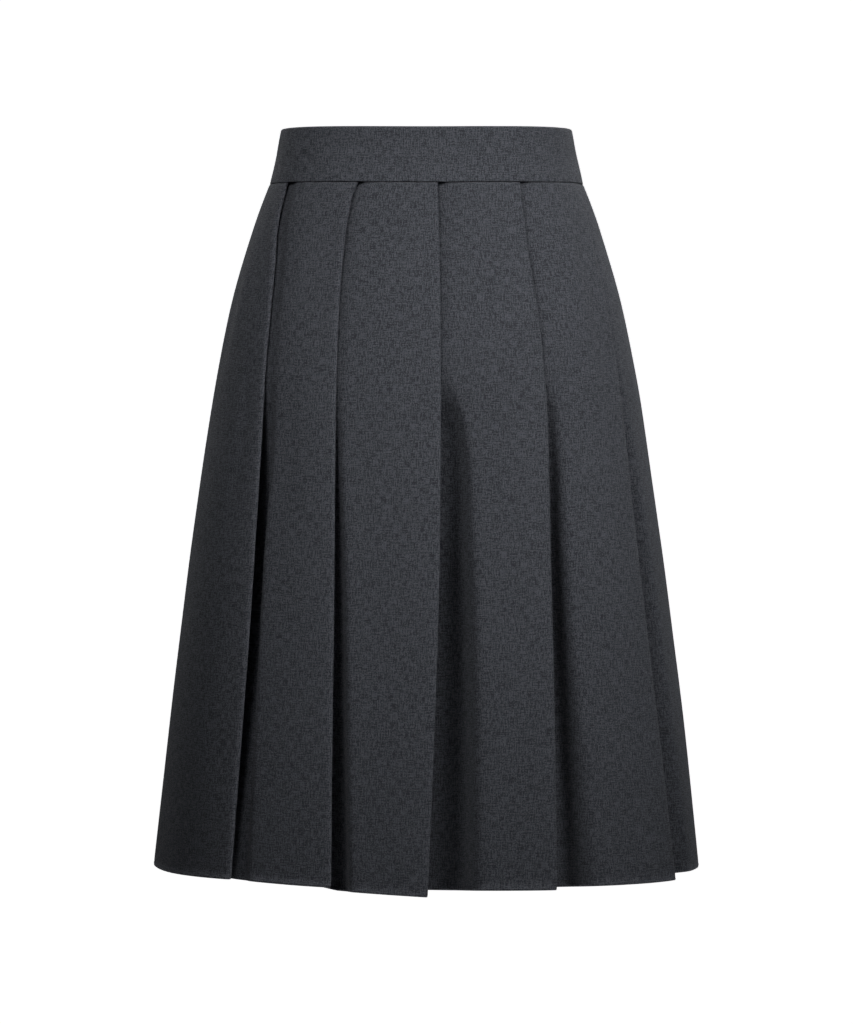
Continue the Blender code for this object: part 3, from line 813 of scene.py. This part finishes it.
# The closed coil down the middle of the tape, on its inner face
def makeCoil(finish):
    mesh = bpy.data.meshes.new("zip_coil")
    work = bmesh.new()
    behind = pleat["seamGap"] + (zipParts["cloth"] + zipParts["tapeThick"] + zipParts["toothDeep"]) / 2.0
    aside = zipParts["aside"]
    above = zipParts["above"]
    segments = zipParts["toothSegments"]
    rings = zipParts["toothRings"]
    count = int((zipParts["top"] - zipParts["foot"]) / zipParts["pitch"])
    for tooth in range(count):
        height = zipParts["top"] - tooth * zipParts["pitch"]
        middle = tapePlace(height, 0.0, behind)
        across = (tapePlace(height, aside, behind) - tapePlace(height, -aside, behind)).normalized()
        up = (tapePlace(height + above, 0.0, behind) - tapePlace(height - above, 0.0, behind)).normalized()
        turn = Matrix((across, up, across.cross(up))).transposed().to_4x4()
        ball = bmesh.ops.create_uvsphere(work, u_segments=segments, v_segments=rings, radius=0.5 * mm)
        made = ball["verts"]
        size = (zipParts["toothWide"], zipParts["toothTall"], zipParts["toothDeep"])
        bmesh.ops.scale(work, vec=size, verts=made)
        bmesh.ops.transform(work, matrix=Matrix.Translation(middle) @ turn, verts=made)
    for face in work.faces:
        face.smooth = True
    work.to_mesh(mesh)
    work.free()
    addPiece("zip_coil", mesh, finish)


stageSize = {"floor": -2.7, "reach": 6.5, "bend": 1.8, "top": 14.0, "bendSteps": 10, "turns": 72}
paperLook = {
    "deep": (0.86, 0.865, 0.87, 1.0),
    "pale": (0.88, 0.885, 0.89, 1.0),
    "mottleScale": 3.0,
    "glow": (1.0, 1.0, 1.0, 1.0),
    "strength": 1.0,
    "roughness": 0.8,
    "specular": 0.2,
}


# A round pale floor that sweeps up into a wall, well outside every view's camera
def makeStage():
    finish = Finish("studio paper")
    place = finish.node("ShaderNodeTexCoord", {}, {}, "Object")
    mottle = finish.speckle(place, paperLook["mottleScale"], 2.0)
    paper = finish.close({
        "Base Color": finish.mix(mottle, paperLook["deep"], paperLook["pale"]),
        "Emission Color": paperLook["glow"],
        "Emission Strength": paperLook["strength"],
        "Roughness": paperLook["roughness"],
        "Specular IOR Level": paperLook["specular"],
    })
    mesh = bpy.data.meshes.new("backdrop")
    work = bmesh.new()
    level, reach, bend = stageSize["floor"], stageSize["reach"], stageSize["bend"]
    outline = [(0.0, 0.0, level)]
    for step in range(stageSize["bendSteps"] + 1):
        turn = math.radians(90.0) * step / stageSize["bendSteps"]
        outline.append((reach - bend + bend * math.sin(turn), 0.0, level + bend - bend * math.cos(turn)))
    outline.append((reach, 0.0, level + stageSize["top"]))
    verts = [work.verts.new(point) for point in outline]
    edges = [work.edges.new(pair) for pair in zip(verts, verts[1:])]
    bmesh.ops.spin(
        work, geom=verts + edges, cent=(0.0, 0.0, 0.0), axis=(0.0, 0.0, 1.0), dvec=(0.0, 0.0, 0.0),
        angle=math.radians(360.0), steps=stageSize["turns"], use_merge=True,
    )
    bmesh.ops.remove_doubles(work, verts=work.verts, dist=0.001)
    bmesh.ops.recalc_face_normals(work, faces=work.faces)
    work.faces.ensure_lookup_table()
    if min(work.faces, key=lambda face: face.calc_center_median().length).normal.z < 0.0:
        bmesh.ops.reverse_faces(work, faces=work.faces)
    for face in work.faces:
        face.smooth = True
    work.to_mesh(mesh)
    work.free()
    backdrop = bpy.data.objects.new("backdrop", mesh)
    backdrop.data.materials.append(paper)
    backdrop.visible_diffuse = False
    backdrop.visible_glossy = False
    bpy.context.scene.collection.objects.link(backdrop)


def addLight(name, place, target, size, power, spread):
    lamp = bpy.data.lights.new(name, "AREA")
    lamp.shape = "RECTANGLE"
    lamp.size, lamp.size_y = size
    lamp.energy = power
    lamp.spread = math.radians(spread)
    item = bpy.data.objects.new(name, lamp)
    item.location = place
    item.rotation_euler = (Vector(target) - Vector(place)).to_track_quat("-Z", "Y").to_euler()
    item.visible_camera = False
    bpy.context.scene.collection.objects.link(item)


# Each light: its place, what it points at, its size, power and spread in degrees
lights = {
    "right": ((0.96, -1.00, 0.88), (-0.17, 0.0, -0.24), (0.8, 0.8), 1.48, 40.0),
    "lowRight": ((1.10, -1.00, 0.50), (-0.14, 0.0, -0.50), (0.8, 0.8), 0.60, 40.0),
    "left": ((-0.69, -1.10, 0.97), (0.13, 0.0, -0.30), (0.8, 0.8), 1.06, 42.0),
    "backRight": ((0.75, 1.35, 0.95), (-0.06, 0.0, -0.25), (0.8, 0.8), 2.1, 60.0),
    "backLeft": ((-0.75, 1.35, 0.95), (0.06, 0.0, -0.25), (0.8, 0.8), 2.0, 60.0),
    "below": ((0.0, 0.0, -2.2), (0.0, 0.0, 0.0), (0.8, 0.8), 2.5, 50.0),
}
ambient = {"colour": (0.95, 0.97, 1.0, 1.0), "strength": 0.034}


def makeLight():
    for name, (place, target, size, power, spread) in lights.items():
        addLight(name, place, target, size, power, spread)
    world = bpy.data.worlds.new("studio")
    world.use_nodes = True
    background = world.node_tree.nodes["Background"]
    background.inputs["Color"].default_value = ambient["colour"]
    background.inputs["Strength"].default_value = ambient["strength"]
    bpy.context.scene.world = world
    bpy.context.scene.view_settings.view_transform = "Standard"


lens = {"place": (0.0, -3.5, -0.216), "tilt": 1.65, "focal": 136.7, "sensor": 36.0}


def makeCamera():
    camera = bpy.data.cameras.new("photo")
    camera.lens = lens["focal"]
    camera.sensor_width = lens["sensor"]
    item = bpy.data.objects.new("photo", camera)
    item.location = lens["place"]
    item.rotation_euler = (math.radians(90.0 - lens["tilt"]), 0.0, 0.0)
    bpy.context.scene.collection.objects.link(item)
    bpy.context.scene.camera = item


makeCamera()
makeLight()
makeStage()
print("stage, lights and camera are in place")

clothFinish = makeSuiting("suiting", 1.0)
# The waistband's suiting is the skirt's cloth painted 6% lighter: painted light, where the band catches more
# light
paintedLighterBandFinish = makeSuiting("waistband suiting painted lighter", 1.06)
tapeMaterial = makeTape()
metalMaterial = makeMetal()
for row in skirtPieces:
    makeSkirtPanel(*row, clothFinish)
print("pleated panels are made")

makeBand("front_band", "front_waistband", -0.25, 0.25, 221, (False, False), paintedLighterBandFinish)
makeBand("back_left_band", "back_left_waistband", 0.25, 0.5, 111, (False, True), paintedLighterBandFinish)
makeBand("back_right_band", "back_right_waistband", 0.5, 0.75, 111, (True, False), paintedLighterBandFinish)
print("waistband is made")

makeCoil(metalMaterial)
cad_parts["zip_tape"].data.materials.clear()
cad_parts["zip_tape"].data.materials.append(tapeMaterial)
for name in ("zip_slider", "zip_pull"):
    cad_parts[name].data.materials.clear()
    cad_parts[name].data.materials.append(metalMaterial)
print("zip is finished")
